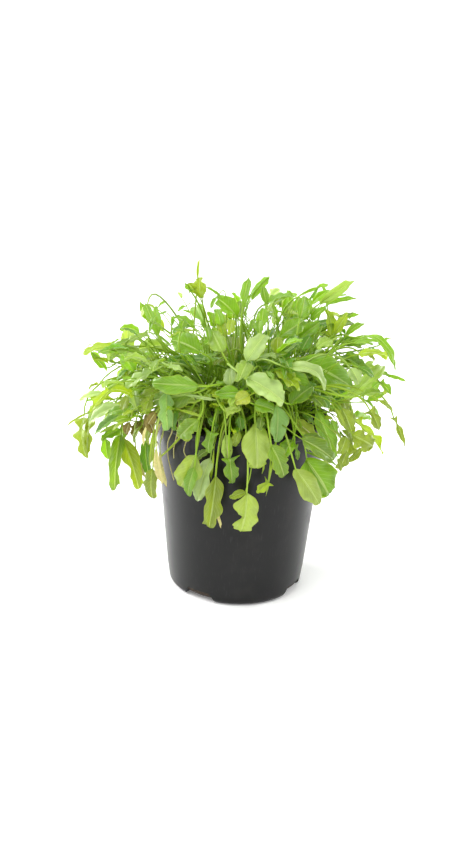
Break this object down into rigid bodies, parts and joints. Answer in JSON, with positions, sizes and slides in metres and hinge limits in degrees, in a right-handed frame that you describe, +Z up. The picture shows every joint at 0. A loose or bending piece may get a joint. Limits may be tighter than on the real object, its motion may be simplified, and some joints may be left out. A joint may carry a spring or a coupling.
{
  "type": "potted sheep sorrel",
  "caption": "Leafy sheep sorrel growing from crowns in a round tapered nursery pot filled with soil; long-stalked arrow-shaped, oval and lobed leaves arch over the rim and hang down.",
  "frame": {"origin": "middle of the pot's flat underside", "axes": "+Z up along the pot's axis; -Y towards the side that the picture shows, +X to that picture's right"},
  "size_m": [0.3202, 0.2764, 0.3136],
  "materials": {
    "pot_plastic": "satin black injection-moulded plastic with light scuffs",
    "soil": "dark crumbly potting soil, matt",
    "leaf": "soft living leaf, satin, yellow-green, a little see-through",
    "dry_leaf": "dead leaf, straw to brown, matt"
  },
  "bodies": {
    "root": {"pot": "pot_plastic", "soil": "soil", "tuft_01": "leaf", "tuft_02": "leaf", "tuft_03": "leaf", "tuft_04": "leaf", "tuft_05": "leaf", "tuft_06": "leaf", "tuft_07": "leaf", "tuft_08": "leaf", "tuft_09": "leaf", "tuft_10": "leaf", "tuft_11": "leaf", "tuft_12": "leaf", "tuft_13": "leaf", "tuft_14": "leaf", "tuft_15": "leaf", "tuft_16": "leaf", "tuft_17": "leaf", "tuft_18": "leaf", "tuft_19": "leaf", "tuft_20": "leaf", "dry_tuft_21": "dry_leaf", "tuft_22": "leaf", "tuft_23": "leaf", "tuft_24": "leaf", "tuft_25": "leaf", "tuft_26": "leaf", "tuft_27": "leaf", "tuft_28": "leaf", "tuft_29": "leaf", "tuft_30": "leaf", "tuft_31": "leaf", "dry_tuft_32": "dry_leaf", "tuft_33": "leaf", "tuft_34": "leaf"}
  },
  "joints": []
}
